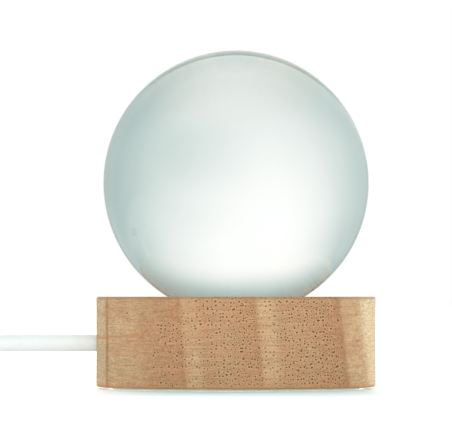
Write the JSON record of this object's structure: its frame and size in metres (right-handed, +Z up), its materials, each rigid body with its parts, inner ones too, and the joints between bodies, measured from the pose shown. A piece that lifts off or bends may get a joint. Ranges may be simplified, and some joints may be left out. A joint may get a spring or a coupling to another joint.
{
  "type": "crystal ball lamp",
  "caption": "Table lamp: a solid clear glass ball lying in the dish of a round wooden base with an LED module inside, on a USB lead with a rocker switch.",
  "frame": {"origin": "on the table, under the middle of the round base", "axes": "+Z up through the middle of the ball; the front faces -Y; the lead leaves the base towards -X"},
  "size_m": [0.2268, 0.063, 0.0765],
  "materials": {
    "ball_glass": "solid clear crystal glass, polished, with a faint sea-green cast in its depth",
    "base_wood": "pale open-pored hardwood, sanded and left almost raw",
    "cover_plastic": "white moulded plastic, fine matt",
    "foot_foam": "dark grey closed-cell foam",
    "window_acrylic": "clear acrylic with a frosted underside",
    "holder_plastic": "white moulded plastic",
    "board_white": "white solder mask on an aluminium board",
    "clamp_plastic": "white moulded plastic",
    "wire_red": "red wire insulation",
    "wire_black": "black wire insulation",
    "cord_jacket": "soft white jacket, satin",
    "tie_band": "white woven hook-and-loop band",
    "switch_plastic": "white moulded plastic with a fine spark texture",
    "rocker_plastic": "white moulded plastic, smooth",
    "contact_metal": "gilt brass",
    "plug_plastic": "soft white overmould, satin",
    "plug_steel": "nickel-plated pressed steel",
    "tongue_plastic": "white moulded plastic",
    "led_lens": "yellow phosphor under clear resin",
    "resistor_ceramic": "black ceramic chip with tinned ends",
    "screw_steel": "zinc-plated steel"
  },
  "bodies": {
    "lamp": {"board_screw_1": "screw_steel", "board_screw_2": "screw_steel", "bottom_cover": "cover_plastic", "clamp_screw_1": "screw_steel", "clamp_screw_2": "screw_steel", "cord_clamp": "clamp_plastic", "cord_coil": "cord_jacket", "cord_lead": "cord_jacket", "cord_link": "cord_jacket", "cord_tail": "cord_jacket", "cord_tie": "tie_band", "cover_screw_1": "screw_steel", "cover_screw_2": "screw_steel", "cover_screw_3": "screw_steel", "foot_pad": "foot_foam", "holder_screw_1": "screw_steel", "holder_screw_2": "screw_steel", "led_1": "led_lens", "led_2": "led_lens", "led_3": "led_lens", "led_board": "board_white", "led_holder": "holder_plastic", "led_window": "window_acrylic", "negative_wire": "wire_black", "plug_contact_1": "contact_metal", "plug_contact_2": "contact_metal", "plug_contact_3": "contact_metal", "plug_contact_4": "contact_metal", "plug_grip": "plug_plastic", "plug_shell": "plug_steel", "plug_tongue": "tongue_plastic", "positive_wire": "wire_red", "resistor_1": "resistor_ceramic", "resistor_2": "resistor_ceramic", "switch_blade": "contact_metal", "switch_contact_in": "contact_metal", "switch_contact_out": "contact_metal", "switch_lower_shell": "switch_plastic", "switch_screw_1": "screw_steel", "switch_screw_2": "screw_steel", "switch_through_wire": "wire_black", "switch_upper_shell": "switch_plastic", "switch_wire_in": "wire_red", "switch_wire_out": "wire_red", "wood_base": "base_wood"},
    "ball": {"crystal_ball": "ball_glass"},
    "rocker": {"switch_rocker": "rocker_plastic"}
  },
  "joints": [
    {"name": "ball_lift", "type": "slide", "parent": "lamp", "child": "ball", "axis": [0, 0, 1], "range_m": [0, 0.03]},
    {"name": "rocker_tilt", "type": "hinge", "parent": "lamp", "child": "rocker", "pos_m": [-0.1115, -0.021, 0.0083], "axis": [0, -1, 0], "range_deg": [0, 16]}
  ]
}
